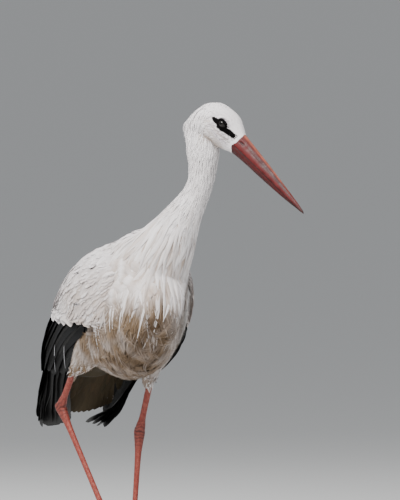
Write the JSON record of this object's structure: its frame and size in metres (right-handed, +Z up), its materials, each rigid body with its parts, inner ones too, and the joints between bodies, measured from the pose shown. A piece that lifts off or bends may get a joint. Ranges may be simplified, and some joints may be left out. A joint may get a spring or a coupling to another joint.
{
  "type": "white stork model",
  "caption": "Life-size white stork in mid-step with folded black-tipped wings, the head turned to its left and the long red bill pointing down.",
  "frame": {"origin": "on the floor, at the middle of the left foot's sole, under the left tarsus", "axes": "+Z up, the bird faces -Y, its left side is +X"},
  "size_m": [0.2748, 0.7198, 0.7106],
  "materials": {
    "white_plumage": "soft matt white feathers, dusty brown on the breast and belly",
    "dusty_plumage": "loose matt feathers, stained brown",
    "black_plumage": "black flight feathers with a slight gloss",
    "eye": "wet dark brown, nearly black",
    "bill": "satin horn, red, darker in streaks",
    "leg_skin": "dry scaly skin, red dusted with white",
    "claw": "dull dark horn"
  },
  "bodies": {
    "root": {"head": "white_plumage", "neck_upper": "white_plumage", "neck_lower": "white_plumage", "trunk": "white_plumage", "tail": "white_plumage", "thigh_left": "dusty_plumage", "thigh_right": "dusty_plumage", "wing_left_coverts": "white_plumage", "wing_right_coverts": "white_plumage", "wing_left_secondaries": "black_plumage", "wing_right_secondaries": "black_plumage", "wing_left_primaries": "black_plumage", "wing_right_primaries": "black_plumage", "eye_left": "eye", "eye_right": "eye", "bill_upper": "bill", "bill_lower": "bill", "shin_left": "leg_skin", "shin_right": "leg_skin", "tarsus_left": "leg_skin", "tarsus_right": "leg_skin", "toe_left_inner": "leg_skin", "toe_left_middle": "leg_skin", "toe_left_outer": "leg_skin", "toe_left_hind": "leg_skin", "toe_right_inner": "leg_skin", "toe_right_middle": "leg_skin", "toe_right_outer": "leg_skin", "toe_right_hind": "leg_skin", "claw_left_inner": "claw", "claw_left_middle": "claw", "claw_left_outer": "claw", "claw_left_hind": "claw", "claw_right_inner": "claw", "claw_right_middle": "claw", "claw_right_outer": "claw", "claw_right_hind": "claw"}
  },
  "joints": []
}
